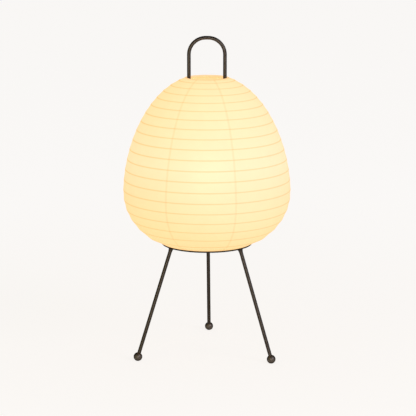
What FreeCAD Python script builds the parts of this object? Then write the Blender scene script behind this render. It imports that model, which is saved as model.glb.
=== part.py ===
# Andon lamp: an egg of paper pasted on bamboo hoops, held open by a steel wire
# that stands on a three-legged base.
# Millimetres. Z = 0 is what the feet stand on, Z runs up the middle of the shade, and the front faces -Y.
import FreeCAD, Part
import math
import os

# Directions and whole turns
origin = FreeCAD.Vector(0, 0, 0)
up = FreeCAD.Vector(0, 0, 1)
full_turn = 360.0
half_turn = 180.0

# Round pieces have flat sides, so that the model stays light
front_gore_sides = 4
side_gore_sides = 6
rod_sides = 12
ball_sides = 16
ball_bands = 8
turned_sides = 24
thin_sides = 8
hexagon_sides = 6
bend_step = 16.0           # degrees of a wire's bend in one straight step

same_point = 1e-6          # points nearer than this are one
mitred = 1                 # kind of corner that a pipe shell makes

# Clearances
push_fit = 0.05            # radial, rod in a socket
seat_gap = 0.2             # under a piece that only rests on another
running_gap = 0.35         # beside a piece that is lifted past another
overrun = 5.0              # how far every cut runs past the wall it cuts

# Tripod
rod_dia = 5.0
ball_dia = 12.0
foot_flat_depth = 0.5      # flat filed under each ball
ball_bore_depth = 6.0
leg_angles = {"rear": 88.4, "left": 206.5, "right": 326.0}  # degrees from +X

# Base ring and the bar across it
ring_dia = 125.0
ring_width = 13.5
ring_thickness = 2.0
ring_top = 157.4           # height of the ring's upper face
leg_inset = 8.5            # from the ring's rim to the leg's axis
leg_splay = 52.0           # how far each foot stands out beyond its leg's head
collar_length = 5.5
collar_foot_dia = 5.8
collar_head_dia = 9.4
bar_width = 16.0
hub_dia = 34.0
hub_fillet = 8.0

# Stretcher: one wire, with the handle at its top
handle_width = 48.8        # between the wire's centres
handle_rise = 53.6         # from the paper's upper edge to the wire's centre at the top
handle_bend = 22.6
socket_inset = 8.5         # from the ring's rim to the socket's axis
socket_dia = 8.0
socket_height = 14.0
upright_rise = 8.0         # straight wire above each socket
lean_bend = 30.0
shoulder_reach = 9.6       # how far the shoulder steps out below the top hoop
shoulder_slope = 50.0      # degrees below the horizontal
shoulder_bend = 6.0

# Shade
shade_dia = 230.0
widest_rise = 72.2         # from the ring's upper face to where the egg is widest
egg_rise = 160.4           # half egg above the widest height
egg_tail = 13.9            # how far the half egg below it would run on past the ring
rise_powers = (1.775, 2.17)
drop_powers = (2.114, 2.081)
paper_thickness = 0.4
paper_overhang = 0.5       # paper's lower edge beyond the base ring
gore_count = 6             # the front one is the narrowest
first_seam_angle = -118.0  # degrees from +X, at the front gore's left edge
front_gore_turn = 47.5     # degrees
hoop_count = 19            # bamboo hoops between the two end hoops
first_hoop_drop = 3.65619    # below the paper's upper edge
last_hoop_rise = 9.55767     # above the ring's upper face
first_hoop_angle = 24.4    # degrees from the top of a circle: the hoops stand at equal steps round
last_hoop_angle = 123.9    # it, seen from its side
hoop_width = 1.8           # flat side, on the paper
hoop_depth = 1.2           # to the rounded side's ridge
paste_gap = 0.1
end_hoop_width = 1.6
end_hoop_height = 2.4

# Lampholder, for a bulb with a 27 mm Edison screw
nipple_dia = 10.0
nipple_bore_dia = 7.0
nipple_length = 14.0
nipple_drop = 7.0          # nipple below the ring's upper face
washer_dia = 18.0
washer_thickness = 1.0
nut_width = 14.0
nut_thickness = 3.0
holder_dia = 39.0
holder_foot_dia = 21.0
holder_wall = 1.8
cap_flare = 9.0            # height of the cap's cone
cap_height = 15.0
cap_floor = 2.4
skirt_height = 31.0
shell_bore_dia = 27.0
shell_wall = 0.35
insert_height = 8.0
contact_width = 6.0
contact_thickness = 0.6
contact_spring = 2.0       # height of the contact's raised tongue
terminal_dia = 4.0
terminal_length = 3.0
terminal_spacing = 22.0

# Bulb
bulb_dia = 60.0
bulb_height = 105.0
glass_wall = 0.8
glass_bands = 8
globe_share = 0.72         # of a half turn of the globe's outline that is round
neck_dia = 25.0
screw_cap_dia = 26.0
screw_cap_height = 22.0
screw_cap_wall = 0.4
neck_lap = 6.0             # of the glass inside the screw cap
cap_insulator_height = 4.0
cap_insulator_dia = 14.0
tip_dia = 9.0
tip_height = 1.4
stem_dia = 8.0
stem_height = 26.0
stem_flare_height = 1.0
filament_count = 4
filament_dia = 1.6
filament_length = 34.0
filament_lean = 12.0       # degrees from upright

# Worked out from the sizes above
rod_radius = rod_dia / 2
side_gore_turn = (full_turn - front_gore_turn) / (gore_count - 1)
widest_side_turn = max(front_gore_turn / front_gore_sides, side_gore_turn / side_gore_sides)
ring_radius = ring_dia / 2
ring_hole_radius = ring_radius - ring_width
ring_underside = ring_top - ring_thickness
ball_radius = ball_dia / 2
ball_height = ball_radius - foot_flat_depth
leg_top_radius = ring_radius - leg_inset
foot_radius = leg_top_radius + leg_splay
handle_reach = handle_width / 2
hoop_bore_radius = (handle_reach + rod_radius + running_gap) / math.cos(math.radians(widest_side_turn / 2))
top_edge_radius = hoop_bore_radius + end_hoop_width + paste_gap + paper_thickness / 2
bottom_edge_radius = ring_radius + paper_overhang
bottom_edge_height = ring_top + seat_gap
widest_height = ring_top + widest_rise
egg_drop = widest_rise + egg_tail


def plane_face(points):
    """Flat face through points that may repeat, or nothing where fewer than three differ."""
    corners = []
    for place, point in enumerate(points):
        if not point.isEqual(points[place - 1], same_point):
            corners.append(point)
    return [Part.Face(Part.makePolygon(corners + corners[:1]))] if len(corners) > 2 else []


def swept(outline, angles):
    """Solid carried about the axis in flat sides, from a closed outline of (radius, height) points."""
    sections = []
    for angle in angles:
        way = FreeCAD.Vector(math.cos(math.radians(angle)), math.sin(math.radians(angle)), 0)
        sections.append([way * radius + up * height for radius, height in outline])
    faces = []
    for here, beyond in zip(sections, sections[1:]):
        for place in range(len(outline)):
            faces += plane_face([here[place - 1], here[place], beyond[place], beyond[place - 1]])
    if angles[-1] - angles[0] < full_turn:
        faces += plane_face(sections[0]) + plane_face(sections[-1])
    return Part.makeSolid(Part.makeShell(faces))


def even_angles(start, turn, sides):
    return [start + turn * side / sides for side in range(sides + 1)]


def turned(outline, sides=turned_sides):
    """Round piece in equal flat sides."""
    return swept(outline, even_angles(0.0, full_turn, sides))


def ring_outline(outer_radius, inner_radius, bottom, top):
    return [(inner_radius, bottom), (outer_radius, bottom), (outer_radius, top), (inner_radius, top)]


def prism(radius, sides, bottom, top):
    return turned([(0, bottom), (radius, bottom), (radius, top), (0, top)], sides)


def disc(radius, bottom, height):
    return Part.makeCylinder(radius, height, FreeCAD.Vector(0, 0, bottom), up)


def stood(shape, foot, way):
    """Moves a piece made on the axis so that its own axis starts at a point and runs a given way."""
    shape.Placement = FreeCAD.Placement(foot, FreeCAD.Rotation(up, way))
    return shape


def bent_path(points, bends):
    """Straight runs between points, with a bend of the given radius at each inner one."""
    path = [points[0]]
    for before, corner, after, bend in zip(points, points[1:], points[2:], bends):
        way_in = (corner - before).normalize()
        way_out = (after - corner).normalize()
        turn = way_in.getAngle(way_out)
        middle = corner + (way_out - way_in).normalize() * (bend / math.cos(turn / 2))
        spoke = corner - way_in * (bend * math.tan(turn / 2)) - middle
        steps = math.ceil(math.degrees(turn) / bend_step)
        for step in range(steps + 1):
            rotation = FreeCAD.Rotation(way_in.cross(way_out), math.degrees(turn) * step / steps)
            path.append(middle + rotation.multVec(spoke))
    return path + points[-1:]


def wire_along(path, radius):
    """Solid rod along a path, mitred at each of its points."""
    section = Part.makePolygon([path[0] + corner for corner in polygon_points(radius, rod_sides)])
    return Part.Wire(Part.makePolygon(path)).makePipeShell([section], True, False, mitred)


def polygon_points(radius, sides):
    """Corners of a level polygon round the origin, with the first one again at the end."""
    angles = [math.radians(full_turn * side / sides) for side in range(sides)] + [0.0]
    return [FreeCAD.Vector(radius * math.cos(angle), radius * math.sin(angle), 0) for angle in angles]


def round_the_axis(shape, angle):
    copy = shape.copy()
    copy.rotate(origin, up, angle)
    return copy


def save(node, shape):
    shape.exportStep(f"parts/{node}.step")


# Paper and hoops

def egg_radius(height):
    """Radius of the egg's outline at a height."""
    if height > widest_height:
        share = (height - widest_height) / egg_rise
        height_power, radius_power = rise_powers
    else:
        share = (widest_height - height) / egg_drop
        height_power, radius_power = drop_powers
    return shade_dia / 2 * (1 - share**height_power) ** (1 / radius_power)


def egg_top(radius):
    """Height at which the egg's upper half has narrowed to a radius."""
    height_power, radius_power = rise_powers
    share = (1 - (radius / (shade_dia / 2)) ** radius_power) ** (1 / height_power)
    return widest_height + egg_rise * share


top_edge_height = egg_top(top_edge_radius)


def hoop_heights():
    """Heights from the paper's upper edge down to its lower one."""
    first_height, last_height = top_edge_height - first_hoop_drop, ring_top + last_hoop_rise
    first_cosine = math.cos(math.radians(first_hoop_angle))
    last_cosine = math.cos(math.radians(last_hoop_angle))
    yield top_edge_height
    for hoop in range(hoop_count):
        angle = first_hoop_angle + (last_hoop_angle - first_hoop_angle) * hoop / (hoop_count - 1)
        share = (math.cos(math.radians(angle)) - last_cosine) / (first_cosine - last_cosine)
        yield last_height + (first_height - last_height) * share
    yield bottom_edge_height


def paper_outline():
    """Outer outline of the paper: straight from hoop to hoop."""
    heights = list(hoop_heights())
    between = [(egg_radius(height), height) for height in heights[1:-1]]
    return [(top_edge_radius, top_edge_height)] + between + [(bottom_edge_radius, bottom_edge_height)]


def unit(vector):
    length = math.hypot(*vector)
    return vector[0] / length, vector[1] / length


def outward_normals(outline):
    """At each point of an outline that runs down: its outward normal, and the cosine of half its turn."""
    found = []
    for place in range(len(outline)):
        before = outline[max(place - 1, 0)]
        after = outline[min(place + 1, len(outline) - 1)]
        here = outline[place]
        ways = [unit((here[0] - before[0], here[1] - before[1]))] if place else []
        ways += [unit((after[0] - here[0], after[1] - here[1]))] if here != after else []
        along = unit((sum(way[0] for way in ways), sum(way[1] for way in ways)))
        lean = along[0] * ways[0][0] + along[1] * ways[0][1]
        found.append(((-along[1], along[0]), lean))
    return found


def drawn_in(outline, depth):
    """The same outline, moved in by a depth square to the paper."""
    moved = []
    for (radius, height), (normal, lean) in zip(outline, outward_normals(outline)):
        moved.append((radius - normal[0] * depth / lean, height - normal[1] * depth / lean))
    return moved


def gore_angles():
    """For each gore, the angles of its flat sides' edges: the front gore, then the others round the axis."""
    gores = [even_angles(first_seam_angle, front_gore_turn, front_gore_sides)]
    while len(gores) < gore_count:
        gores.append(even_angles(gores[-1][-1], side_gore_turn, side_gore_sides))
    return gores


def paper_gores():
    """Gores of paper, edge to edge round the axis."""
    outline = paper_outline()
    section = outline + drawn_in(outline, paper_thickness)[::-1]
    return [swept(section, angles) for angles in gore_angles()]


def shade_ring(section):
    """Closed ring that follows the paper's sides."""
    angles = [first_seam_angle]
    for gore in gore_angles():
        angles += gore[1:]
    return swept(section, angles)


def bamboo_hoops():
    """Split bamboo pasted inside the paper at each of its folds, flat side out."""
    outline = paper_outline()
    backs = drawn_in(outline, paper_thickness + paste_gap)
    ridges = drawn_in(outline, paper_thickness + paste_gap + hoop_depth)
    hoops = []
    for back, ridge, (normal, lean) in list(zip(backs, ridges, outward_normals(outline)))[1:-1]:
        along = (-normal[1] * hoop_width / 2, normal[0] * hoop_width / 2)
        upper = (back[0] + along[0], back[1] + along[1])
        lower = (back[0] - along[0], back[1] - along[1])
        hoops.append(shade_ring([lower, upper, ridge]))
    return hoops


def top_hoop():
    outer = hoop_bore_radius + end_hoop_width
    bottom = top_edge_height - end_hoop_height
    return shade_ring(ring_outline(outer, hoop_bore_radius, bottom, top_edge_height))


def bottom_hoop():
    outer = bottom_edge_radius - paper_thickness / 2 - paste_gap
    top = bottom_edge_height + end_hoop_height
    return shade_ring(ring_outline(outer, outer - end_hoop_width, bottom_edge_height, top))


# Base

leg_foot = FreeCAD.Vector(foot_radius, 0, ball_height)
leg_head = FreeCAD.Vector(leg_top_radius, 0, ring_underside)
leg_way = (leg_head - leg_foot).normalize()


def under_the_ring(shape):
    """Cuts a leg piece off level with the ring's lower face."""
    reach = foot_radius + ball_radius
    above = Part.makeBox(reach * 2, reach * 2, ring_top, FreeCAD.Vector(-reach, -reach, ring_underside))
    return shape.cut(above)


def socket_radius(radius):
    """Corner radius of a flat-sided bore that a rod is pushed into."""
    return (radius + push_fit) / math.cos(math.pi / rod_sides)


def leg():
    start = leg_foot + leg_way * (ball_radius - ball_bore_depth + seat_gap)
    length = (leg_head - start).Length + overrun
    return under_the_ring(stood(prism(rod_radius, rod_sides, 0, length), start, leg_way))


def leg_collar():
    """Tapered collar, welded under the ring, that the leg is pushed into."""
    length = collar_length + overrun
    foot = collar_foot_dia / 2
    head = foot + (collar_head_dia / 2 - foot) * length / collar_length
    bore = socket_radius(rod_radius)
    collar = turned([(bore, 0), (foot, 0), (head, length), (bore, length)], rod_sides)
    return under_the_ring(stood(collar, leg_head - leg_way * collar_length, leg_way))


def ball_foot():
    angles = [half_turn * (band / ball_bands - 0.5) for band in range(ball_bands + 1)]
    outline = [(ball_radius * math.cos(math.radians(angle)), ball_radius * math.sin(math.radians(angle)))
               for angle in angles[1:-1]]
    ball = turned([(0, -ball_radius)] + outline + [(0, ball_radius)], ball_sides)
    ground_corner = FreeCAD.Vector(-ball_radius, -ball_radius, -ball_radius - ball_height)
    ground = Part.makeBox(ball_dia, ball_dia, ball_radius, ground_corner)
    bore = prism(socket_radius(rod_radius), rod_sides, 0, ball_bore_depth + overrun)
    bore = stood(bore, leg_way * (ball_radius - ball_bore_depth), leg_way)
    foot = ball.cut(ground).cut(bore)
    foot.translate(leg_foot)
    return foot


def base_ring():
    hole = disc(ring_hole_radius, ring_underside - overrun, ring_thickness + overrun * 2)
    return disc(ring_radius, ring_underside, ring_thickness).cut(hole)


def holder_bar():
    """Bar across the ring with a round hub for the lampholder."""
    bar_corner = FreeCAD.Vector(-ring_radius, -bar_width / 2, ring_underside)
    bar = Part.makeBox(ring_dia, bar_width, ring_thickness, bar_corner)
    shape = bar.fuse(disc(hub_dia / 2, ring_underside, ring_thickness)).removeSplitter()
    corners = [edge for edge in shape.Edges if is_hub_corner(edge)]
    shape = shape.makeFillet(hub_fillet, corners)
    shape = shape.common(disc(ring_hole_radius - push_fit, ring_underside, ring_thickness))
    return shape.cut(disc(nipple_dia / 2 + push_fit, ring_underside - overrun, ring_thickness + overrun * 2))


def is_hub_corner(edge):
    """Upright edges where the hub meets the bar."""
    ends = [vertex.Point for vertex in edge.Vertexes]
    if len(ends) != 2 or abs(ends[0].z - ends[1].z) < ring_thickness / 2:
        return False
    return math.hypot(ends[0].x, ends[0].y) < hub_dia / 2 + push_fit


# Stretcher

socket_reach = ring_radius - socket_inset


def shoulder_foot():
    """Where the wire leaves the sloping shoulder, and how far it lies below the top hoop."""
    slope = math.radians(shoulder_slope)
    seat = rod_radius + seat_gap + end_hoop_width / 2 * math.sin(slope)
    hoop_middle = hoop_bore_radius + end_hoop_width / 2
    hoop_underside = top_edge_height - end_hoop_height
    # the slope's centre line passes this far below the middle of the hoop's underside
    line_height = hoop_underside - seat / math.cos(slope)
    corner_height = line_height + (hoop_middle - handle_reach) * math.tan(slope)
    foot_height = corner_height - shoulder_reach * math.tan(slope)
    return corner_height, foot_height


def stretcher_handle():
    corner_height, foot_height = shoulder_foot()
    lean_start = ring_top + socket_height + upright_rise
    side = [
        (socket_reach, ring_top),
        (socket_reach, lean_start),
        (handle_reach + shoulder_reach, foot_height),
        (handle_reach, corner_height),
        (handle_reach, top_edge_height + handle_rise),
    ]
    right = [FreeCAD.Vector(x, 0, z) for x, z in side]
    left = [FreeCAD.Vector(-x, 0, z) for x, z in side[::-1]]
    side_bends = [lean_bend, shoulder_bend, shoulder_bend, handle_bend]
    return wire_along(bent_path(right + left, side_bends + side_bends[::-1]), rod_radius)


def stretcher_socket(side):
    outline = ring_outline(socket_dia / 2, socket_radius(rod_radius), ring_top, ring_top + socket_height)
    socket = turned(outline, rod_sides)
    socket.translate(FreeCAD.Vector(socket_reach * side, 0, 0))
    return socket


# Lampholder

cap_top = ring_top + cap_height
skirt_top = cap_top + skirt_height
holder_radius = holder_dia / 2
shell_radius = shell_bore_dia / 2 + shell_wall
insert_bottom = cap_top - insert_height / 2
insert_top = insert_bottom + insert_height
contact_height = insert_top + contact_spring


def threaded_nipple():
    """Round and hollow: the flex comes up through it."""
    bottom = ring_top - nipple_drop
    bore = disc(nipple_bore_dia / 2, bottom - overrun, nipple_length + overrun * 2)
    return disc(nipple_dia / 2, bottom, nipple_length).cut(bore)


nipple_hole_radius = (nipple_dia / 2 + push_fit) / math.cos(math.pi / turned_sides)


def washer():
    bottom = ring_underside - washer_thickness
    return turned(ring_outline(washer_dia / 2, nipple_hole_radius, bottom, ring_underside))


def nut():
    """Hexagon nut under the washer."""
    top = ring_underside - washer_thickness
    bottom = top - nut_thickness
    corner_radius = nut_width / 2 / math.cos(math.pi / hexagon_sides)
    hexagon = prism(corner_radius, hexagon_sides, bottom, top)
    return hexagon.cut(prism(nipple_hole_radius, turned_sides, bottom - overrun, top + overrun))


def holder_cap():
    """Moulded cap that stands on the bar and covers the terminals."""
    foot = holder_foot_dia / 2
    inner = holder_radius - holder_wall
    return turned([
        (nipple_hole_radius, ring_top),
        (foot, ring_top),
        (holder_radius, ring_top + cap_flare),
        (holder_radius, cap_top),
        (inner, cap_top),
        (inner, ring_top + cap_flare),
        (foot, ring_top + cap_floor),
        (nipple_hole_radius, ring_top + cap_floor),
    ])


def holder_skirt():
    """Moulded sleeve with a lip that closes on the screw shell."""
    inner = holder_radius - holder_wall
    lip = shell_radius + push_fit
    return turned([
        (inner, cap_top),
        (holder_radius, cap_top),
        (holder_radius, skirt_top),
        (lip, skirt_top),
        (lip, skirt_top - holder_wall),
        (inner, skirt_top - holder_wall),
    ])


def ceramic_insert():
    """Ceramic block that carries the shell and the contact."""
    return prism(holder_radius - holder_wall - push_fit, turned_sides, insert_bottom, insert_top)


def terminal_screws():
    """Two clamping screws under the insert, inside the cap."""
    screws = []
    for side in (-1, 1):
        screw = prism(terminal_dia / 2, thin_sides, insert_bottom - terminal_length, insert_bottom)
        screw.translate(FreeCAD.Vector(0, side * terminal_spacing / 2, 0))
        screws.append(screw)
    return screws


def screw_shell():
    return turned(ring_outline(shell_radius, shell_bore_dia / 2, insert_top, skirt_top))


def centre_contact():
    """Sprung brass strip: flat on the insert, then up to a tongue under the bulb's tip."""
    reach = shell_bore_dia / 3
    rise = contact_spring
    outline = [
        (-reach, 0),
        (0, 0),
        (rise, rise - contact_thickness),
        (reach, rise - contact_thickness),
        (reach, rise),
        (rise - contact_thickness / 2, rise),
        (-contact_thickness / 2, contact_thickness),
        (-reach, contact_thickness),
    ]
    points = [FreeCAD.Vector(x - rise, -contact_width / 2, insert_top + z) for x, z in outline]
    strip = Part.Face(Part.makePolygon(points + points[:1]))
    return strip.extrude(FreeCAD.Vector(0, contact_width, 0))


# Bulb

tip_bottom = contact_height + seat_gap
bulb_insulator_bottom = tip_bottom + tip_height
screw_cap_bottom = bulb_insulator_bottom + cap_insulator_height
screw_cap_top = screw_cap_bottom + screw_cap_height
bulb_top = tip_bottom + bulb_height
globe_height = bulb_top - bulb_dia / 2


def globe_outline(radius, neck_radius, neck_height):
    """The glass from its crown down the round globe, then along the cone to the neck."""
    bands = [half_turn / 2 - half_turn * globe_share * band / glass_bands for band in range(glass_bands + 1)]
    round_part = []
    for angle in bands[1:]:
        height = globe_height + radius * math.sin(math.radians(angle))
        round_part.append((radius * math.cos(math.radians(angle)), height))
    return [(0, globe_height + radius)] + round_part + [(neck_radius, neck_height)]


neck_bottom = screw_cap_top - neck_lap
neck_radius = neck_dia / 2


def bulb_glass():
    """Blown envelope, open at the bottom of its neck."""
    outer = globe_outline(bulb_dia / 2, neck_radius, screw_cap_top)
    inner = globe_outline(bulb_dia / 2 - glass_wall, neck_radius - glass_wall, screw_cap_top)
    mouth = [(neck_radius, neck_bottom), (neck_radius - glass_wall, neck_bottom)]
    return turned(outer + mouth + inner[::-1])


def bulb_cap():
    outer = screw_cap_dia / 2
    return turned(ring_outline(outer, outer - screw_cap_wall, screw_cap_bottom, screw_cap_top))


def bulb_insulator():
    """Black glass plug between the screw cap and the tip."""
    return turned([
        (0, bulb_insulator_bottom),
        (cap_insulator_dia / 2, bulb_insulator_bottom),
        (screw_cap_dia / 2, screw_cap_bottom),
        (0, screw_cap_bottom),
    ])


def bulb_tip():
    return turned([
        (0, tip_bottom),
        (tip_dia / 2 - tip_height / 2, tip_bottom),
        (tip_dia / 2, bulb_insulator_bottom),
        (0, bulb_insulator_bottom),
    ])


def bulb_stem():
    """Glass stem with a flare that closes the neck."""
    flare_top = neck_bottom + stem_flare_height
    return turned([
        (0, neck_bottom),
        (neck_radius - glass_wall - push_fit, neck_bottom),
        (neck_radius - glass_wall - push_fit, flare_top),
        (stem_dia / 2, flare_top + stem_flare_height),
        (stem_dia / 4, neck_bottom + stem_height),
        (0, neck_bottom + stem_height),
    ])


def filaments():
    """Lit rods that fan out from the stem's end."""
    lean = math.radians(filament_lean)
    way = FreeCAD.Vector(math.sin(lean), 0, math.cos(lean))
    height = neck_bottom + stem_height + filament_dia / 2 * math.sin(lean)
    foot = FreeCAD.Vector(stem_dia / 4 - filament_dia / 2, 0, height)
    rod = stood(prism(filament_dia / 2, thin_sides, 0, filament_length), foot, way)
    return [round_the_axis(rod, full_turn / filament_count * place) for place in range(filament_count)]


os.makedirs("parts", exist_ok=True)

for place, gore in enumerate(paper_gores(), 1):
    save(f"paper_gore_{place}", gore)
for place, hoop in enumerate(bamboo_hoops(), 1):
    save(f"bamboo_hoop_{place}", hoop)
save("top_hoop", top_hoop())
save("bottom_hoop", bottom_hoop())

save("base_ring", base_ring())
save("holder_bar", holder_bar())
for name, angle in leg_angles.items():
    save(f"leg_{name}", round_the_axis(leg(), angle))
    save(f"leg_collar_{name}", round_the_axis(leg_collar(), angle))
    save(f"ball_foot_{name}", round_the_axis(ball_foot(), angle))
save("stretcher_handle", stretcher_handle())
save("stretcher_socket_left", stretcher_socket(-1))
save("stretcher_socket_right", stretcher_socket(1))

save("threaded_nipple", threaded_nipple())
save("nipple_washer", washer())
save("nipple_nut", nut())
save("holder_cap", holder_cap())
save("holder_skirt", holder_skirt())
save("ceramic_insert", ceramic_insert())
save("terminal_screws", Part.makeCompound(terminal_screws()))
save("screw_shell", screw_shell())
save("centre_contact", centre_contact())

save("bulb_glass", bulb_glass())
save("bulb_cap", bulb_cap())
save("bulb_insulator", bulb_insulator())
save("bulb_tip", bulb_tip())
save("bulb_stem", bulb_stem())
save("bulb_filaments", Part.makeCompound(filaments()))
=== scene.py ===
# Andon lamp, dressed: paper egg on bamboo hoops over a wire tripod. Metres, front towards -Y.
import math
import bpy
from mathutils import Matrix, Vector


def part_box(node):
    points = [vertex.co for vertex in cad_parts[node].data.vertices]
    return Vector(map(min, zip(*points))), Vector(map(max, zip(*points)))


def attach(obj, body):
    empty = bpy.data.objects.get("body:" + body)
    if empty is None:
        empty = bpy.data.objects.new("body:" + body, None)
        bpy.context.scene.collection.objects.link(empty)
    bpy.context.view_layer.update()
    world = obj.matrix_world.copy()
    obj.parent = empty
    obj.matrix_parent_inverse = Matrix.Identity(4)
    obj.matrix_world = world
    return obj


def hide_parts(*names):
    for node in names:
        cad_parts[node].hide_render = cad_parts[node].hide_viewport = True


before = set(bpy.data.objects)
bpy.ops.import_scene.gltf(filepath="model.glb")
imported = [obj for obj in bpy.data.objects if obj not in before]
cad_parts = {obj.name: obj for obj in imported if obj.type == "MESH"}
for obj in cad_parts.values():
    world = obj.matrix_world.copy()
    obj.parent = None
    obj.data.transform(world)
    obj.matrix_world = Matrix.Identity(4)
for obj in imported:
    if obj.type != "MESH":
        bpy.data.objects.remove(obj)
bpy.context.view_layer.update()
bpy.ops.object.select_all(action="DESELECT")
mm = 0.001
weldReach = 0.001 * mm            # points nearer than this are merged
print("frame loaded")

# Camera: a long lens, a little above the lamp
cameraSetup = {
    "place": (1.47 * mm, -2100 * mm, 635.5 * mm),
    "tilt": 90 - 11.601,          # degrees from straight down
    "lens": 134.49,
    "sensor": 36.0,
    "nearest": 0.05,              # from the lens, that still shows
}


def makeCamera(setup):
    bpy.ops.object.camera_add(location=setup["place"], rotation=(math.radians(setup["tilt"]), 0, 0))
    camera = bpy.context.object
    camera.name = "photoCamera"
    camera.data.lens = setup["lens"]
    camera.data.sensor_width = setup["sensor"]
    camera.data.clip_start = setup["nearest"]
    bpy.context.scene.camera = camera


makeCamera(cameraSetup)
bpy.context.scene.view_settings.view_transform = "Standard"
print("camera set")

# Small helpers for meshes and nodes


def toLinear(red, green, blue):
    # colour as seen on a screen, 0 to 255, to the linear colour that a shader takes
    parts = [value / 255 for value in (red, green, blue)]
    straight = [part / 12.92 if part <= 0.04045 else ((part + 0.055) / 1.055) ** 2.4 for part in parts]
    return tuple(straight) + (1.0,)


def newMaterial(name):
    material = bpy.data.materials.new(name)
    material.use_nodes = True
    nodes = material.node_tree.nodes
    return material, nodes, material.node_tree.links, nodes["Principled BSDF"]


def mathNode(nodes, links, operation, first, second=None, third=None):
    node = nodes.new("ShaderNodeMath")
    node.operation = operation
    for place, value in enumerate((first, second, third)):
        if value is None:
            continue
        if isinstance(value, (int, float)):
            node.inputs[place].default_value = value
        else:
            links.new(value, node.inputs[place])
    return node.outputs[0]


def mapRange(nodes, links, value, fromLow, fromHigh, toLow, toHigh, smooth=True):
    node = nodes.new("ShaderNodeMapRange")
    node.interpolation_type = "SMOOTHSTEP" if smooth else "LINEAR"
    links.new(value, node.inputs["Value"])
    limits = {"From Min": fromLow, "From Max": fromHigh, "To Min": toLow, "To Max": toHigh}
    for socket, number in limits.items():
        node.inputs[socket].default_value = number
    return node.outputs["Result"]


def mixColour(nodes, links, factor, first, second, blend="MIX"):
    node = nodes.new("ShaderNodeMix")
    node.data_type = "RGBA"
    node.blend_type = blend
    colourInputs = [socket for socket in node.inputs if socket.type == "RGBA"]
    for socket, value in ((node.inputs[0], factor), (colourInputs[0], first), (colourInputs[1], second)):
        if hasattr(value, "is_linked"):
            links.new(value, socket)
        else:
            socket.default_value = value
    return [socket for socket in node.outputs if socket.type == "RGBA"][0]


def colourRamp(nodes, links, value, stops):
    node = nodes.new("ShaderNodeValToRGB")
    links.new(value, node.inputs["Fac"])
    ramp = node.color_ramp
    while len(ramp.elements) < len(stops):
        ramp.elements.new(0.5)
    for element, (place, colour) in zip(ramp.elements, stops):
        element.position = place
        element.color = colour
    return node.outputs["Color"]


def pickOnly(obj):
    bpy.ops.object.select_all(action="DESELECT")
    bpy.context.view_layer.objects.active = obj
    obj.select_set(True)


def editMesh(obj, selectMode="VERT"):
    # into edit mode, with all of the mesh picked
    pickOnly(obj)
    bpy.ops.object.mode_set(mode="EDIT")
    bpy.ops.mesh.select_mode(type=selectMode)
    bpy.ops.mesh.select_all(action="SELECT")


def leaveEdit():
    bpy.ops.object.mode_set(mode="OBJECT")


def settle(obj, body, slot, *cadNodes):
    # place into the mesh, then onto its body
    pickOnly(obj)
    bpy.ops.object.transform_apply(location=True, rotation=True, scale=True)
    bpy.ops.object.select_all(action="DESELECT")
    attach(obj, body)
    if cadNodes:
        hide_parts(*cadNodes)


def nodesNamed(start):
    return sorted(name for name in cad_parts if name.startswith(start))


def boxAround(names):
    corners = [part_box(name) for name in names]
    low = Vector([min(box[0][axis] for box in corners) for axis in range(3)])
    high = Vector([max(box[1][axis] for box in corners) for axis in range(3)])
    return low, high


def applyModifiers(obj):
    pickOnly(obj)
    for modifier in list(obj.modifiers):
        bpy.ops.object.modifier_apply(modifier=modifier.name)


def pushOut(step):
    bpy.ops.mesh.extrude_region_move(TRANSFORM_OT_translate={"value": tuple(step)})


def closeUp(piece, smoothAngle=35):
    # from edit mode: merge, turn the faces out, then shade smooth but for true edges
    bpy.ops.mesh.select_all(action="SELECT")
    bpy.ops.mesh.remove_doubles(threshold=weldReach)
    bpy.ops.mesh.normals_make_consistent(inside=False)
    leaveEdit()
    bpy.ops.object.shade_smooth_by_angle(angle=math.radians(smoothAngle))


def turnedPiece(name, outline, sides=64, centre=(0, 0), smoothAngle=35):
    # an outline of (radius, height) points, pushed out of one vertex and spun round an upright axis
    radius, height = outline[0]
    bpy.ops.mesh.primitive_plane_add(size=mm, location=(centre[0] + radius, centre[1], height))
    piece = bpy.context.object
    piece.name = name
    bpy.ops.object.transform_apply(location=True)
    editMesh(piece)
    bpy.ops.mesh.merge(type="CENTER")
    for here, beyond in zip(outline, outline[1:]):
        pushOut((beyond[0] - here[0], 0, beyond[1] - here[1]))
    bpy.ops.mesh.select_all(action="SELECT")
    bpy.ops.mesh.spin(steps=sides, angle=math.tau, center=(centre[0], centre[1], 0), axis=(0, 0, 1))
    closeUp(piece, smoothAngle)
    return piece


def ringOutline(outer, inner, bottom, top, round_):
    # a flat ring's section with its four corners taken off, closed
    return [
        (inner, bottom + round_),
        (inner + round_, bottom),
        (outer - round_, bottom),
        (outer, bottom + round_),
        (outer, top - round_),
        (outer - round_, top),
        (inner + round_, top),
        (inner, top - round_),
        (inner, bottom + round_),
    ]


# Shared shader groups


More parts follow.
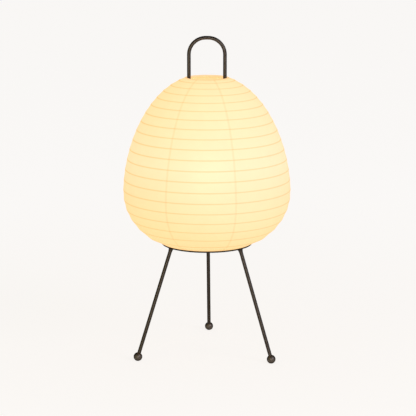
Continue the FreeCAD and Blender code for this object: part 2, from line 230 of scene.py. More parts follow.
def makeMottleGroup():
    # fine uneven tone: a factor about 1 and a height, from object coordinates
    group = bpy.data.node_groups.new("softMottle", "ShaderNodeTree")
    for name, way in (("Size", "INPUT"), ("Amount", "INPUT"), ("Factor", "OUTPUT"), ("Height", "OUTPUT")):
        group.interface.new_socket(name, in_out=way, socket_type="NodeSocketFloat")
    nodes, links = group.nodes, group.links
    entry = nodes.new("NodeGroupInput")
    leave = nodes.new("NodeGroupOutput")
    place = nodes.new("ShaderNodeTexCoord")
    noise = nodes.new("ShaderNodeTexNoise")
    noise.inputs["Detail"].default_value = 4.0
    links.new(place.outputs["Object"], noise.inputs["Vector"])
    links.new(entry.outputs["Size"], noise.inputs["Scale"])
    centred = mathNode(nodes, links, "SUBTRACT", noise.outputs["Fac"], 0.5)
    scaled = mathNode(nodes, links, "MULTIPLY", centred, entry.outputs["Amount"])
    doubled = mathNode(nodes, links, "MULTIPLY_ADD", scaled, 2.0, 1.0)
    links.new(doubled, leave.inputs["Factor"])
    links.new(noise.outputs["Fac"], leave.inputs["Height"])
    return group


mottleGroup = makeMottleGroup()


def mottle(nodes, size, amount):
    node = nodes.new("ShaderNodeGroup")
    node.node_tree = mottleGroup
    node.inputs["Size"].default_value = size
    node.inputs["Amount"].default_value = amount
    return node.outputs["Factor"], node.outputs["Height"]


def bumpFrom(nodes, links, height, strength, distance):
    node = nodes.new("ShaderNodeBump")
    node.inputs["Strength"].default_value = strength
    node.inputs["Distance"].default_value = distance
    links.new(height, node.inputs["Height"])
    return node.outputs["Normal"]


# Room: pale floor and background of one colour, soft lamps
room = {
    "paleTone": toLinear(249, 247, 244),
    # painted light on the floor: warmer near the lamp, lighter far out to make up for the lamps' light
    # falling off
    "farTone": (0.978, 0.961, 0.945, 1.0),
    "paintedPoolTone": (0.957, 0.930, 0.902, 1.0),
    "paintedPoolReach": 1.3,             # how far the painted warm pool of the lamp's light spreads over the floor
    "floorSize": 60.0,
    "floorShare": 0.90,           # of the floor's look that no shadow darkens
    "floorBase": (0.9, 0.89, 0.87, 1.0),
    "floorRoughness": 0.9,
    "floorSheen": 0.1,
    "ambient": 0.75,
    "ambientTone": (1.0, 0.98, 0.95, 1.0),
    "mirrored": 0.2,              # brightness of the background as metal mirrors it
    "lamps": {
        "key": ((1.9, -1.5, 1.3), 1.2, 30.0, (1.0, 1.0, 1.25)),       # place, size, power, colour
        "fill": ((-1.6, -1.5, 0.9), 1.4, 9.0, (1.0, 0.92, 0.35)),
        "front": ((0.0, -1.4, 0.36), 0.5, 6.2, (1.0, 0.97, 0.92)),
    },
    "aim": (0, 0, 0.22),          # of all three
}


def raysThatShow(nodes, links):
    # 1 for rays that show the room itself: straight on or through glass, less for mirrored ones
    path = nodes.new("ShaderNodeLightPath")
    mirrored = mathNode(nodes, links, "MULTIPLY", path.outputs["Is Glossy Ray"], room["mirrored"])
    either = mathNode(nodes, links, "MAXIMUM", path.outputs["Is Camera Ray"], mirrored)
    return mathNode(nodes, links, "MAXIMUM", either, path.outputs["Is Transmission Ray"])


def raysThatLight(nodes, links):
    # 1 for rays that carry light to matt surfaces
    path = nodes.new("ShaderNodeLightPath")
    return path.outputs["Is Diffuse Ray"]


def makeWorld(setup):
    world = bpy.data.worlds.new("paleRoom")
    bpy.context.scene.world = world
    world.use_nodes = True
    nodes, links = world.node_tree.nodes, world.node_tree.links
    nodes.clear()
    out = nodes.new("ShaderNodeOutputWorld")
    seen = nodes.new("ShaderNodeBackground")
    seen.inputs["Color"].default_value = setup["paleTone"]
    links.new(raysThatShow(nodes, links), seen.inputs["Strength"])
    soft = nodes.new("ShaderNodeBackground")
    soft.inputs["Color"].default_value = setup["ambientTone"]
    soft.inputs["Strength"].default_value = setup["ambient"]
    mix = nodes.new("ShaderNodeMixShader")
    links.new(raysThatLight(nodes, links), mix.inputs["Fac"])
    links.new(seen.outputs[0], mix.inputs[1])
    links.new(soft.outputs[0], mix.inputs[2])
    links.new(mix.outputs[0], out.inputs["Surface"])


def makeFloor(setup):
    bpy.ops.mesh.primitive_plane_add(size=setup["floorSize"], location=(0, 0, 0))
    floor = bpy.context.object
    floor.name = "paleFloor"
    material, nodes, links, shader = newMaterial("paleFloor")
    shader.inputs["Base Color"].default_value = setup["floorBase"]
    shader.inputs["Roughness"].default_value = setup["floorRoughness"]
    shader.inputs["Specular IOR Level"].default_value = setup["floorSheen"]
    place = nodes.new("ShaderNodeTexCoord")
    distance = nodes.new("ShaderNodeVectorMath")
    distance.operation = "LENGTH"
    links.new(place.outputs["Object"], distance.inputs[0])
    # painted light: the floor's glow is warmer near the lamp and lighter far from it
    away = mapRange(nodes, links, distance.outputs["Value"], 0.0, setup["paintedPoolReach"], 0.0, 1.0)
    glow = nodes.new("ShaderNodeEmission")
    tone = colourRamp(nodes, links, away, [(0.0, setup["paintedPoolTone"]), (1.0, setup["farTone"])])
    links.new(tone, glow.inputs["Color"])
    share = mathNode(nodes, links, "MULTIPLY", raysThatShow(nodes, links), setup["floorShare"])
    mix = nodes.new("ShaderNodeMixShader")
    links.new(share, mix.inputs["Fac"])
    links.new(shader.outputs[0], mix.inputs[1])
    links.new(glow.outputs[0], mix.inputs[2])
    links.new(mix.outputs[0], nodes["Material Output"].inputs["Surface"])
    floor.data.materials.append(material)


def makeLamp(name, place, size, power, colour, target):
    bpy.ops.object.light_add(type="AREA", location=place)
    lamp = bpy.context.object
    lamp.name = name
    lamp.data.shape = "DISK"
    lamp.data.size = size
    lamp.data.energy = power
    lamp.data.color = colour
    lamp.rotation_euler = (Vector(target) - Vector(place)).to_track_quat("-Z", "Y").to_euler()


makeWorld(room)
makeFloor(room)
for name, (place, size, power, colour) in room["lamps"].items():
    makeLamp(f"{name}Lamp", place, size, power, colour, room["aim"])
print("room lit")

# Paper shade
shade = {
    "widest": 230 * mm / 2,
    "widestHeight": 229.6 * mm,
    "rise": 160.4 * mm,
    "drop": 86.1 * mm,
    "risePowers": (1.775, 2.17),
    "dropPowers": (2.114, 2.081),
    "hoops": 19,                  # at the folds between the two edges
    "circleMiddle": 248.5 * mm,   # their heights are equal steps round a circle seen from its side
    "circleRadius": 146.2 * mm,
    "firstHoop": 24.4,            # degrees from the circle's top
    "lastHoop": 123.9,
    "gores": 6,
    "firstSeam": -118.0,          # degrees from +X, at the front gore's left edge
    "frontGore": 47.5,            # degrees
    "topRadius": 29.3 * mm,
    "bottomRadius": 63.0 * mm,
    "sides": 144,
    "sag": 0.3 * mm,              # of the paper between two hoops
    "paper": 0.35 * mm,
    "hoopLine": 0.056,            # half width of a hoop's shadow, in steps
    "hoopSoft": 0.026,
    "rimLine": 0.4 * mm,          # height of the upper hoop's shadow
    "seamHalf": 1.3 * mm,
    "seamSoft": 0.8 * mm,
}
goreNodes = nodesNamed("paper_gore")
paperLow, paperHigh = boxAround(goreNodes)


def eggRadius(height):
    above = height > shade["widestHeight"]
    reach = (height - shade["widestHeight"]) / (shade["rise"] if above else -shade["drop"])
    heightPower, radiusPower = shade["risePowers"] if above else shade["dropPowers"]
    return shade["widest"] * (1 - reach**heightPower) ** (1 / radiusPower)


hoopStep = math.radians(shade["lastHoop"] - shade["firstHoop"]) / (shade["hoops"] - 1)


def hoopHeight(hoop):
    turn = math.radians(shade["firstHoop"]) + hoopStep * hoop
    return shade["circleMiddle"] + shade["circleRadius"] * math.cos(turn)


def foldPoints():
    # (radius, height) of the paper at each fold, from the top down
    points = [(shade["topRadius"], paperHigh.z)]
    points += [(eggRadius(hoopHeight(hoop)), hoopHeight(hoop)) for hoop in range(shade["hoops"])]
    return points + [(shade["bottomRadius"], paperLow.z)]


def paperPoints():
    folds = foldPoints()
    points = [folds[0]]
    for upper, lower in zip(folds, folds[1:]):
        along = Vector((lower[0] - upper[0], lower[1] - upper[1])).normalized()
        inward = Vector((along.y, -along.x)) * shade["sag"]
        middle = ((upper[0] + lower[0]) / 2 + inward.x, (upper[1] + lower[1]) / 2 + inward.y)
        points += [middle, lower]
    return points


# The bulb's light through the paper, painted on as a glow: its tone from the bottom up, as it looks
# between two hoops
paperLook = {
    "tones": [
        (0.00, (0.98, 0.625, 0.220, 1.0)),
        (0.12, (0.99, 0.622, 0.220, 1.0)),
        (0.32, (1.00, 0.632, 0.262, 1.0)),
        (0.52, (1.00, 0.680, 0.336, 1.0)),
        (0.80, (1.00, 0.678, 0.300, 1.0)),
        (1.00, (0.99, 0.675, 0.278, 1.0)),
    ],
    "outer": (0.86, 0.09, (0.30, 0.220, 0.195, 1.0)),      # painted glow of the bulb's light, share of light let through, base
    "inner": (0.95, 0.45, (0.08, 0.060, 0.10, 1.0)),
    "bound": (0.74, 0.0, (0.30, 0.200, 0.18, 1.0)),
    "hoopShadowTone": (0.95, 0.74, 0.42, 1.0),
    "seamShadowTone": (0.97, 0.89, 0.74, 1.0),
    "unevenness": (70.0, 0.035),                           # patches per metre, strength
    "roughness": 0.75,
    "bending": 1.12,
    "fibres": (0.15, 0.0006),                              # strength, height
}


def hoopShadow(nodes, links, height):
    # mask of the painted hoop shadows: 1 on a hoop, 0 between two, from how far the height lies from a
    # whole step round the circle
    reach = shade["circleRadius"]
    cosine = mathNode(nodes, links, "MULTIPLY_ADD", height, 1 / reach, -shade["circleMiddle"] / reach)
    turn = mathNode(nodes, links, "ARCCOSINE", cosine)
    firstTurn = math.radians(shade["firstHoop"])
    step = mathNode(nodes, links, "MULTIPLY_ADD", turn, 1 / hoopStep, -firstTurn / hoopStep)
    offStep = mathNode(nodes, links, "PINGPONG", step, 0.5)
    line = mapRange(nodes, links, offStep, shade["hoopLine"] - shade["hoopSoft"],
                    shade["hoopLine"] + shade["hoopSoft"], 1.0, 0.0)
    rimFoot = paperHigh.z - shade["rimLine"]
    rim = mapRange(nodes, links, height, rimFoot, rimFoot + shade["rimLine"] / 3, 0.0, 1.0)
    return mathNode(nodes, links, "MAXIMUM", line, rim)


def seamShadow(nodes, links, position, axes):
    # 1 on a seam, whose doubled paper is painted darker as shade: the front gore is narrower than the
    # others, which are alike
    frontTurn = math.radians(shade["frontGore"])
    sideTurn = (math.tau - frontTurn) / (shade["gores"] - 1)
    bearing = mathNode(nodes, links, "ARCTAN2", axes.outputs["Y"], axes.outputs["X"])
    shifted = mathNode(nodes, links, "SUBTRACT", bearing, math.radians(shade["firstSeam"]))
    fromFirst = mathNode(nodes, links, "FLOORED_MODULO", shifted, math.tau)
    sideGore = mathNode(nodes, links, "MULTIPLY_ADD", fromFirst, 1 / sideTurn, -frontTurn / sideTurn)
    goreShare = mathNode(nodes, links, "PINGPONG", sideGore, 0.5)
    offSide = mathNode(nodes, links, "MULTIPLY", goreShare, sideTurn)
    offSeam = mathNode(nodes, links, "MINIMUM", offSide, fromFirst)
    level = nodes.new("ShaderNodeVectorMath")
    level.operation = "MULTIPLY"
    level.inputs[1].default_value = (1, 1, 0)
    links.new(position, level.inputs[0])
    radius = nodes.new("ShaderNodeVectorMath")
    radius.operation = "LENGTH"
    links.new(level.outputs[0], radius.inputs[0])
    arc = mathNode(nodes, links, "MULTIPLY", offSeam, radius.outputs["Value"])
    return mapRange(nodes, links, arc, shade["seamHalf"] - shade["seamSoft"],
                    shade["seamHalf"] + shade["seamSoft"], 1.0, 0.0)


def makePaperMaterial(name, face, lined=False):
    glow, through, base = paperLook[face]
    material, nodes, links, shader = newMaterial(name)
    place = nodes.new("ShaderNodeTexCoord")
    axes = nodes.new("ShaderNodeSeparateXYZ")
    links.new(place.outputs["Object"], axes.inputs[0])
    height = mapRange(nodes, links, axes.outputs["Z"], paperLow.z, paperHigh.z, 0.0, 1.0, smooth=False)
    tone = colourRamp(nodes, links, height, paperLook["tones"])
    if lined:
        # the hoops' shadows through the lit paper are painted as darker lines
        hoop = hoopShadow(nodes, links, axes.outputs["Z"])
        tone = mixColour(nodes, links, hoop, tone, paperLook["hoopShadowTone"], "MULTIPLY")
        # the seams' doubled paper is painted darker, as shade against the light inside
        seam = seamShadow(nodes, links, place.outputs["Object"], axes)
        tone = mixColour(nodes, links, seam, tone, paperLook["seamShadowTone"], "MULTIPLY")
    unevenness, fibres = mottle(nodes, *paperLook["unevenness"])
    toned = mixColour(nodes, links, 1.0, tone, unevenness, "MULTIPLY")
    # the bulb's light on the paper: mostly painted in as emission, with a small share let through from
    # the real bulb
    links.new(toned, shader.inputs["Emission Color"])
    shader.inputs["Emission Strength"].default_value = glow
    shader.inputs["Base Color"].default_value = base
    shader.inputs["Roughness"].default_value = paperLook["roughness"]
    shader.inputs["Specular IOR Level"].default_value = 0.0
    shader.inputs["Transmission Weight"].default_value = through
    shader.inputs["IOR"].default_value = paperLook["bending"]
    links.new(bumpFrom(nodes, links, fibres, *paperLook["fibres"]), shader.inputs["Normal"])
    return material


def makePaper(outside, inside):
    points = paperPoints()
    radius, height = points[0]
    bpy.ops.mesh.primitive_circle_add(vertices=shade["sides"], radius=radius, location=(0, 0, height))
    paper = bpy.context.object
    paper.name = "shadePaper"
    bpy.ops.object.transform_apply(location=True)
    editMesh(paper, "EDGE")
    for upper, lower in zip(points, points[1:]):
        pushOut((0, 0, lower[1] - upper[1]))
        grow = lower[0] / upper[0]
        bpy.ops.transform.resize(value=(grow, grow, 1), center_override=(0, 0, 0))
    bpy.ops.mesh.select_all(action="SELECT")
    bpy.ops.mesh.normals_make_consistent(inside=False)
    leaveEdit()
    bpy.ops.object.shade_smooth()
    paper.data.materials.append(outside)
    paper.data.materials.append(inside)
    wall = paper.modifiers.new("wall", "SOLIDIFY")
    wall.thickness = shade["paper"]
    wall.offset = -1.0
    wall.material_offset = 1
    applyModifiers(paper)
    return paper


litPaper = makePaperMaterial("litPaper", "outer", lined=True)
shadePaper = makePaper(litPaper, makePaperMaterial("paperInside", "inner"))
settle(shadePaper, "shade", "shade_paper", *goreNodes)
print("paper on its hoops")

# End hoops, bound in the same paper
endHoop = {
    "bore": 27.4 * mm,            # of the upper one, clear of the wire
    "width": 1.6 * mm,
    "corner": 0.35 * mm,
    "lowerOuter": 62.7 * mm,
    "sides": 96,
}
# the binding paper carries the same painted glow of the bulb's light as the shade
boundPaper = makePaperMaterial("boundPaper", "bound")


def makeEndHoop(name, node, outer):
    low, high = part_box(node)
    outline = ringOutline(outer, outer - endHoop["width"], low[2], high[2], endHoop["corner"])
    hoop = turnedPiece(name, outline, sides=endHoop["sides"])
    hoop.data.materials.append(boundPaper)
    settle(hoop, "shade", "bamboo", node)


makeEndHoop("topHoop", "top_hoop", endHoop["bore"] + endHoop["width"])
makeEndHoop("bottomHoop", "bottom_hoop", endHoop["lowerOuter"])
print("end hoops bound")

# Split bamboo, with the light from inside the shade painted on as a glow
bamboo = {
    "pale": toLinear(232, 205, 158),
    "dark": toLinear(214, 182, 128),
    "glow": (1.0, 0.92, 1.30, 1.0),
    "strength": 0.42,             # of the painted glow
    "roughness": 0.55,
    "fibres": (30, 30, 2400),     # per metre along X, Y and Z
    "detail": 5.0,
    "relief": (0.3, 0.0002),      # strength, height
}


def makeBamboo(look):
    material, nodes, links, shader = newMaterial("splitBamboo")
    place = nodes.new("ShaderNodeTexCoord")
    stretched = nodes.new("ShaderNodeMapping")
    stretched.inputs["Scale"].default_value = look["fibres"]
    links.new(place.outputs["Object"], stretched.inputs["Vector"])
    grain = nodes.new("ShaderNodeTexNoise")
    grain.inputs["Scale"].default_value = 1.0
    grain.inputs["Detail"].default_value = look["detail"]
    links.new(stretched.outputs["Vector"], grain.inputs["Vector"])
    tone = colourRamp(nodes, links, grain.outputs["Fac"], [(0.3, look["dark"]), (0.7, look["pale"])])
    links.new(tone, shader.inputs["Base Color"])
    lit = mixColour(nodes, links, 1.0, tone, look["glow"], "MULTIPLY")
    links.new(lit, shader.inputs["Emission Color"])
    shader.inputs["Emission Strength"].default_value = look["strength"]
    shader.inputs["Roughness"].default_value = look["roughness"]
    links.new(bumpFrom(nodes, links, grain.outputs["Fac"], *look["relief"]), shader.inputs["Normal"])
    return material


def dress(material, *nodeNames):
    for name in nodeNames:
        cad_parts[name].data.materials.clear()
        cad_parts[name].data.materials.append(material)


dress(makeBamboo(bamboo), *nodesNamed("bamboo_hoop"))
print("hoops dressed")

# Blackened steel of the wire, the legs, the balls and the ring
blackening = {
    "rod": ((0.049, 0.040, 0.032, 1.0), 0.38),         # tone, roughness
    "ball": ((0.098, 0.082, 0.068, 1.0), 0.46),
    "ring": ((0.030, 0.024, 0.019, 1.0), 0.42),
    "edge": (0.0, 0.0, 0.0, 1.0),                      # tone at a grazing view
    "grain": (260.0, 0.08),                            # per metre, unevenness
}
metalWear = 0.02                  # of the roughness, up and down
metalRelief = (0.02, 0.0001)      # strength, height


def makeMetal(name, tone, roughness, edge, grainSize, unevenness):
    material, nodes, links, shader = newMaterial(name)
    factor, grain = mottle(nodes, grainSize, unevenness)
    links.new(mixColour(nodes, links, 1.0, tone, factor, "MULTIPLY"), shader.inputs["Base Color"])
    wear = mapRange(nodes, links, grain, 0.35, 0.65, roughness - metalWear, roughness + metalWear)
    links.new(wear, shader.inputs["Roughness"])
    shader.inputs["Metallic"].default_value = 1.0
    shader.inputs["Specular Tint"].default_value = edge
    links.new(bumpFrom(nodes, links, grain, *metalRelief), shader.inputs["Normal"])
    return material


rodSteel = makeMetal("rodSteel", *blackening["rod"], blackening["edge"], *blackening["grain"])
ballSteel = makeMetal("ballSteel", *blackening["ball"], blackening["edge"], *blackening["grain"])
ringSteel = makeMetal("ringSteel", *blackening["ring"], blackening["edge"], *blackening["grain"])
dress(ringSteel, "holder_bar")

# Flat ring that carries all
ringLow, ringHigh = boxAround(["base_ring"])
flatRing = {
    "width": 13.5 * mm,
    "corner": 0.25 * mm,
    "sides": 96,
}
ringOuter = ringHigh.x
ringInner = ringOuter - flatRing["width"]
ringEdge = ringOutline(ringOuter, ringInner, ringLow.z, ringHigh.z, flatRing["corner"])
baseRing = turnedPiece("baseRing", ringEdge, sides=flatRing["sides"])
baseRing.data.materials.append(ringSteel)
settle(baseRing, "stand", "dark_ring", "base_ring")
print("ring laid")

# Tripod
tripod = {
    "angles": {"rear": 88.4, "left": 206.5, "right": 326.0},   # degrees from +X
    "footRadius": 106.0 * mm,
    "headRadius": 54.0 * mm,
    "rod": 2.5 * mm,
    "ball": 6.0 * mm,
    "flat": 0.5 * mm,             # filed off under each ball
    "sides": 28,
    "ballSides": 40,
    "ballBands": 24,
    "smoothAngle": 50,            # degrees: sharper turns keep their edge
    "overrun": 6.0 * mm,          # past the ring's underside, cut off there
    "weldShares": [               # rod radii from the ring, share of the rod's width there
        (3.4, 1.00),
        (2.3, 1.08),
        (1.45, 1.28),
        (0.8, 1.60),
        (0.3, 1.95),
        (0.0, 2.15),
    ],
}


def legPlace(angle, radius, height):
    bearing = math.radians(angle)
    return Vector((radius * math.cos(bearing), radius * math.sin(bearing), height))


def makeLeg(name, angle):
    foot = legPlace(angle, tripod["footRadius"], tripod["ball"] - tripod["flat"])
    head = legPlace(angle, tripod["headRadius"], ringLow.z)
    way = (head - foot).normalized()
    bpy.ops.mesh.primitive_circle_add(vertices=tripod["sides"], radius=tripod["rod"], location=foot,
                                      rotation=way.to_track_quat("Z", "Y").to_euler())
    leg = bpy.context.object
    leg.name = name
    bpy.ops.object.transform_apply(location=True, rotation=True)
    editMesh(leg, "EDGE")
    here, width = foot, 1.0
    for fromRing, share in tripod["weldShares"]:
        beyond = head - way * fromRing * tripod["rod"]
        pushOut(beyond - here)
        bpy.ops.transform.resize(value=(share / width,) * 3, center_override=beyond)
        here, width = beyond, share
    pushOut(way * tripod["overrun"])
    bpy.ops.mesh.select_all(action="SELECT")
    bpy.ops.mesh.bisect(plane_co=(0, 0, ringLow.z), plane_no=(0, 0, 1), clear_outer=True)
    bpy.ops.mesh.select_all(action="SELECT")
    bpy.ops.mesh.fill_holes(sides=0)
    closeUp(leg, tripod["smoothAngle"])
    return leg


def makeBall(name, angle):
    foot = legPlace(angle, tripod["footRadius"], tripod["ball"] - tripod["flat"])
    bpy.ops.mesh.primitive_uv_sphere_add(segments=tripod["ballSides"], ring_count=tripod["ballBands"],
                                         radius=tripod["ball"], location=foot)
    ball = bpy.context.object
    ball.name = name
    bpy.ops.object.transform_apply(location=True)
    editMesh(ball)
    bpy.ops.mesh.bisect(plane_co=(0, 0, 0), plane_no=(0, 0, -1), clear_outer=True, use_fill=True)
    closeUp(ball)
    return ball


for side, angle in tripod["angles"].items():
    leg = makeLeg(f"{side}Leg", angle)
    leg.data.materials.append(rodSteel)
    settle(leg, "stand", "dark_rod", f"leg_{side}", f"leg_collar_{side}")
    ball = makeBall(f"{side}Ball", angle)
    ball.data.materials.append(ballSteel)
    settle(ball, "stand", "dark_ball", f"ball_foot_{side}")
print("tripod standing")

# Stretcher wire: sockets, uprights, shoulders under the top hoop, carrying loop
wire = {
    "radius": 2.5 * mm,
    "sides": 28,
    "socketReach": 54.0 * mm,
    "socketRadius": 4.0 * mm,
    "socketTop": 14.0 * mm,
    "socketChamfer": 0.5 * mm,
    "socketSides": 36,
    "straight": 22.0 * mm,        # above the ring, before the wire leans in
    "leanBend": 30.0 * mm,
    "shoulderReach": 9.6 * mm,
    "shoulderSlope": 50.0,        # degrees below the horizontal
    "shoulderBend": 6.0 * mm,
    "seatGap": 0.2 * mm,
    "hoopHeight": 2.4 * mm,
    "handleReach": 24.4 * mm,
    "handleBend": 22.6 * mm,
    "stepsPerTurn": 56,
    "smoothAngle": 50,
}


def wireCorners():
    # (x, z) up the right half: the wire's centre at its foot, at each bend and at the top of the loop
    slope = math.radians(wire["shoulderSlope"])
    seat = wire["radius"] + wire["seatGap"] + endHoop["width"] / 2 * math.sin(slope)
    hoopMiddle = endHoop["bore"] + endHoop["width"] / 2
    lineHeight = paperHigh.z - wire["hoopHeight"] - seat / math.cos(slope)
    shoulderTop = lineHeight + (hoopMiddle - wire["handleReach"]) * math.tan(slope)
    shoulderFoot = wire["handleReach"] + wire["shoulderReach"]
    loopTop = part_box("stretcher_handle")[1][2] - wire["radius"]
    return [
        (wire["socketReach"], ringHigh.z),
        (wire["socketReach"], ringHigh.z + wire["straight"]),
        (shoulderFoot, shoulderTop - wire["shoulderReach"] * math.tan(slope)),
        (wire["handleReach"], shoulderTop),
        (wire["handleReach"], loopTop),
        (0.0, loopTop),
    ]


def makeWire():
    corners = [Vector((x, 0, z)) for x, z in wireCorners()]
    bends = [wire["leanBend"], wire["shoulderBend"], wire["shoulderBend"], wire["handleBend"]]
    bpy.ops.mesh.primitive_circle_add(vertices=wire["sides"], radius=wire["radius"], location=corners[0])
    loop = bpy.context.object
    loop.name = "stretcherWire"
    bpy.ops.object.transform_apply(location=True)
    editMesh(loop, "EDGE")
    here = corners[0]
    for before, corner, after, bend in zip(corners, corners[1:], corners[2:], bends):
        wayIn, wayOut = (corner - before).normalized(), (after - corner).normalized()
        turn = wayIn.angle(wayOut)
        start = corner - wayIn * bend * math.tan(turn / 2)
        pushOut(start - here)
        middle = corner + (wayOut - wayIn).normalized() * bend / math.cos(turn / 2)
        steps = max(2, round(wire["stepsPerTurn"] * turn / math.tau))
        bpy.ops.mesh.spin(steps=steps, angle=-turn, center=middle, axis=wayIn.cross(wayOut))
        here = corner + wayOut * bend * math.tan(turn / 2)
    pushOut(corners[-1] - here)
    leaveEdit()
    half = loop.modifiers.new("leftHalf", "MIRROR")
    half.use_axis[0] = True
    half.merge_threshold = weldReach
    applyModifiers(loop)
    editMesh(loop)
    bpy.ops.mesh.fill_holes(sides=0)
    closeUp(loop, wire["smoothAngle"])
    return loop


stretcherWire = makeWire()
stretcherWire.data.materials.append(rodSteel)
settle(stretcherWire, "stand", "dark_rod", "stretcher_handle")
print("wire reaches", [round(value / mm, 1) for value in stretcherWire.dimensions])


def makeSocket(name, side):
    low, high = ringHigh.z, ringHigh.z + wire["socketTop"]
    outer, bore, chamfer = wire["socketRadius"], wire["radius"], wire["socketChamfer"]
    outline = [
        (bore, low),
        (outer, low),
        (outer, high - chamfer),
        (outer - chamfer, high),
        (bore, high),
        (bore, low),
    ]
    centre = (side * wire["socketReach"], 0)
    return turnedPiece(name, outline, sides=wire["socketSides"], centre=centre)


for name, side in (("left", -1), ("right", 1)):
    socket = makeSocket(f"{name}Socket", side)
    socket.data.materials.append(rodSteel)
    settle(socket, "stand", "dark_rod", f"stretcher_socket_{name}")
print("wire in its sockets")

# Lampholder: moulded cap and skirt on a brass nipple
holder = {
    "radius": 19.5 * mm,
    "foot": 10.5 * mm,
    "wall": 1.8 * mm,
    "bore": 5.1 * mm,
    "flare": 9.0 * mm,
    "seam": 0.4 * mm,             # depth of the groove where cap and skirt meet
    "floor": 2.4 * mm,            # thickness of the cap's foot
    "capEdge": 0.6 * mm,          # chamfers
    "skirtEdge": 0.8 * mm,
    "lipBore": 13.95 * mm,
    "ribs": 3,
    "ribDepth": 0.5 * mm,
    "ribPitch": 2.2 * mm,
    "ribGroove": [(0.0, 0), (0.2, 1), (0.4, 1), (0.6, 0)],      # shares of the pitch up, of the depth in
    "sides": 72,
    "smoothAngle": 25,
}


def makeCap():
    low, high = (corner[2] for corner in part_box("holder_cap"))
    outer, inner, edge = holder["radius"], holder["radius"] - holder["wall"], holder["capEdge"]
    floor = low + holder["floor"]
    outline = [
        (holder["bore"], low),
        (holder["foot"] - edge, low),
        (holder["foot"], low + edge),
        (outer - edge, low + holder["flare"] - edge),
        (outer, low + holder["flare"]),
        (outer, high - edge),
        (outer - holder["seam"], high),
        (inner, high),
        (inner, low + holder["flare"]),
        (holder["foot"], floor),
        (holder["bore"], floor),
        (holder["bore"], low),
    ]
    return turnedPiece("holderCap", outline, sides=holder["sides"], smoothAngle=holder["smoothAngle"])


def makeSkirt():
    low, high = (corner[2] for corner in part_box("holder_skirt"))
    outer, inner, edge = holder["radius"], holder["radius"] - holder["wall"], holder["skirtEdge"]
    outline = [(inner, low), (outer - holder["seam"], low), (outer, low + edge)]
    firstRib = high - holder["ribPitch"] * (holder["ribs"] + 1)
    for rib in range(holder["ribs"]):
        height = firstRib + holder["ribPitch"] * rib
        for up, inwards in holder["ribGroove"]:
            outline.append((outer - holder["ribDepth"] * inwards, height + holder["ribPitch"] * up))
    outline += [
        (outer, high - edge),
        (outer - edge, high),
        (holder["lipBore"], high),
        (holder["lipBore"], high - holder["wall"]),
        (inner, high - holder["wall"]),
        (inner, low),
    ]
    return turnedPiece("holderSkirt", outline, sides=holder["sides"], smoothAngle=holder["smoothAngle"])


trim = {
    "mouldingTone": (0.018, 0.016, 0.015, 1.0),
    "mouldingGrain": (260.0, 0.2),         # per metre, unevenness
    "mouldingRoughness": (0.30, 0.42),
    "mouldingRelief": (0.08, 0.0003),      # strength, height
    # tone, roughness, tone at a grazing view, grains per metre, unevenness
    "brass": ((0.66, 0.45, 0.19, 1.0), 0.28, (0.9, 0.85, 0.7, 1.0), 700.0, 0.08),
    "zinc": ((0.48, 0.48, 0.47, 1.0), 0.38, (0.9, 0.9, 0.9, 1.0), 500.0, 0.10),
    "white": ((0.76, 0.74, 0.69, 1.0), 0.35),
    "glaze": ((0.012, 0.012, 0.014, 1.0), 0.12),
    "ceramicGrain": (180.0, 0.05),
    "ceramicRelief": (0.05, 0.0003),
}


def makeMoulding():
    material, nodes, links, shader = newMaterial("blackMoulding")
    factor, grain = mottle(nodes, *trim["mouldingGrain"])
    tone = mixColour(nodes, links, 1.0, trim["mouldingTone"], factor, "MULTIPLY")
    links.new(tone, shader.inputs["Base Color"])
    wear = mapRange(nodes, links, grain, 0.3, 0.7, *trim["mouldingRoughness"])
    links.new(wear, shader.inputs["Roughness"])
    links.new(bumpFrom(nodes, links, grain, *trim["mouldingRelief"]), shader.inputs["Normal"])
    return material


moulding = makeMoulding()
for piece, node in ((makeCap(), "holder_cap"), (makeSkirt(), "holder_skirt")):
    piece.data.materials.append(moulding)
    settle(piece, "stand", "black_moulding", node)

brassMetal = makeMetal("brassMetal", *trim["brass"])
zincMetal = makeMetal("zincMetal", *trim["zinc"])
dress(brassMetal, "threaded_nipple", "nipple_nut", "terminal_screws")
dress(brassMetal, "screw_shell", "centre_contact", "bulb_tip")
dress(zincMetal, "nipple_washer")


def makeCeramic(name, tone, roughness):
    material, nodes, links, shader = newMaterial(name)
    factor, grain = mottle(nodes, *trim["ceramicGrain"])
    links.new(mixColour(nodes, links, 1.0, tone, factor, "MULTIPLY"), shader.inputs["Base Color"])
    shader.inputs["Roughness"].default_value = roughness
    links.new(bumpFrom(nodes, links, grain, *trim["ceramicRelief"]), shader.inputs["Normal"])
    return material


dress(makeCeramic("whiteCeramic", *trim["white"]), "ceramic_insert")
dress(makeCeramic("blackGlaze", *trim["glaze"]), "bulb_insulator")
print("lampholder screwed together")

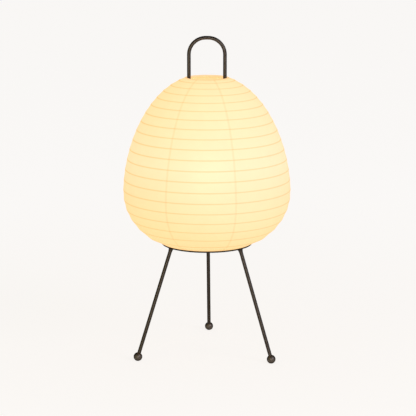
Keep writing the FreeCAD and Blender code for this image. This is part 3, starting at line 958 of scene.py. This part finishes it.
# Bulb: softly frosted globe, screw cap with its thread
bulb = {
    "radius": 30.0 * mm,
    "wall": 0.8 * mm,
    "neck": 12.5 * mm,
    "round": 0.72,                # of a half turn of the globe's outline
    "bands": 26,
    "sides": 64,
    "capRadius": 13.0 * mm,
    "capWall": 0.5 * mm,
    "capRim": 4.0 * mm,           # height above the thread
    "capLip": 0.8 * mm,           # height of the step from thread to rim
    "capPlay": 0.05 * mm,         # round the glass
    "capSmoothAngle": 60,
    "threads": 5,
    "threadDepth": 0.9 * mm,
    "threadShape": [              # shares of the pitch up, of the depth out
        (0.10, 0.0),
        (0.28, 0.75),
        (0.45, 1.0),
        (0.62, 0.75),
        (0.80, 0.0),
    ],
    "glow": 10.0,
    "stemGlow": 0.8,
    "filamentGlow": 6.0,
    "tones": [                    # of the glow, from the foot up
        (0.0, (0.42, 0.24, 0.10, 1.0)),
        (0.25, (0.80, 0.55, 0.27, 1.0)),
        (0.6, (1.0, 0.80, 0.50, 1.0)),
        (1.0, (1.0, 0.74, 0.42, 1.0)),
    ],
    "unevenness": (120.0, 0.03),
    "base": (0.92, 0.90, 0.86, 1.0),
    "roughness": 0.22,
    "coat": 0.6,
    "coatRoughness": 0.06,
    "relief": (0.03, 0.0002),     # strength, height
}


def globeOutline(radius, neck, centre, mouth):
    points = []
    for band in range(bulb["bands"] + 1):
        angle = math.pi / 2 - math.pi * bulb["round"] * band / bulb["bands"]
        points.append((radius * math.cos(angle), centre + radius * math.sin(angle)))
    points[0] = (0.0, centre + radius)
    return points + [(neck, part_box("bulb_cap")[1][2]), (neck, mouth)]


def makeGlobe():
    low, high = (corner[2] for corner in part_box("bulb_glass"))
    centre = high - bulb["radius"]
    outer = globeOutline(bulb["radius"], bulb["neck"], centre, low)
    inner = globeOutline(bulb["radius"] - bulb["wall"], bulb["neck"] - bulb["wall"], centre, low)
    return turnedPiece("bulbGlobe", outer + inner[::-1], sides=bulb["sides"])


def makeBulbCap():
    low, high = (corner[2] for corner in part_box("bulb_cap"))
    outer, root = bulb["capRadius"], bulb["capRadius"] - bulb["threadDepth"]
    inner, rim = root - bulb["capWall"], high - bulb["capRim"]
    pitch = (rim - low) / bulb["threads"]
    outline = [(inner, low), (root, low)]
    for thread in range(bulb["threads"]):
        for up, out in bulb["threadShape"]:
            outline.append((root + bulb["threadDepth"] * out, low + pitch * (thread + up)))
    outline += [
        (root, rim),
        (outer, rim + bulb["capLip"]),
        (outer, high),
        (bulb["neck"] + bulb["capPlay"], high),
        (inner, rim),
        (inner, low),
    ]
    return turnedPiece("bulbCap", outline, sides=bulb["sides"], smoothAngle=bulb["capSmoothAngle"])


def makeGlass(name, glow):
    material, nodes, links, shader = newMaterial(name)
    place = nodes.new("ShaderNodeTexCoord")
    axes = nodes.new("ShaderNodeSeparateXYZ")
    links.new(place.outputs["Object"], axes.inputs[0])
    low, high = (corner[2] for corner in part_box("bulb_glass"))
    height = mapRange(nodes, links, axes.outputs["Z"], low, high, 0.0, 1.0, smooth=False)
    tone = colourRamp(nodes, links, height, bulb["tones"])
    factor, grain = mottle(nodes, *bulb["unevenness"])
    links.new(mixColour(nodes, links, 1.0, tone, factor, "MULTIPLY"), shader.inputs["Emission Color"])
    shader.inputs["Emission Strength"].default_value = glow
    shader.inputs["Base Color"].default_value = bulb["base"]
    shader.inputs["Roughness"].default_value = bulb["roughness"]
    shader.inputs["Coat Weight"].default_value = bulb["coat"]
    shader.inputs["Coat Roughness"].default_value = bulb["coatRoughness"]
    links.new(bumpFrom(nodes, links, grain, *bulb["relief"]), shader.inputs["Normal"])
    return material


bulbGlobe = makeGlobe()
bulbGlobe.data.materials.append(makeGlass("frostedGlass", bulb["glow"]))
settle(bulbGlobe, "bulb", "clear_glass", "bulb_glass")
bulbCap = makeBulbCap()
bulbCap.data.materials.append(zincMetal)
settle(bulbCap, "bulb", "bulb_cap_metal", "bulb_cap")
dress(makeGlass("stemGlass", bulb["stemGlow"]), "bulb_stem")
dress(makeGlass("litFilament", bulb["filamentGlow"]), "bulb_filaments")
print("bulb in its holder")
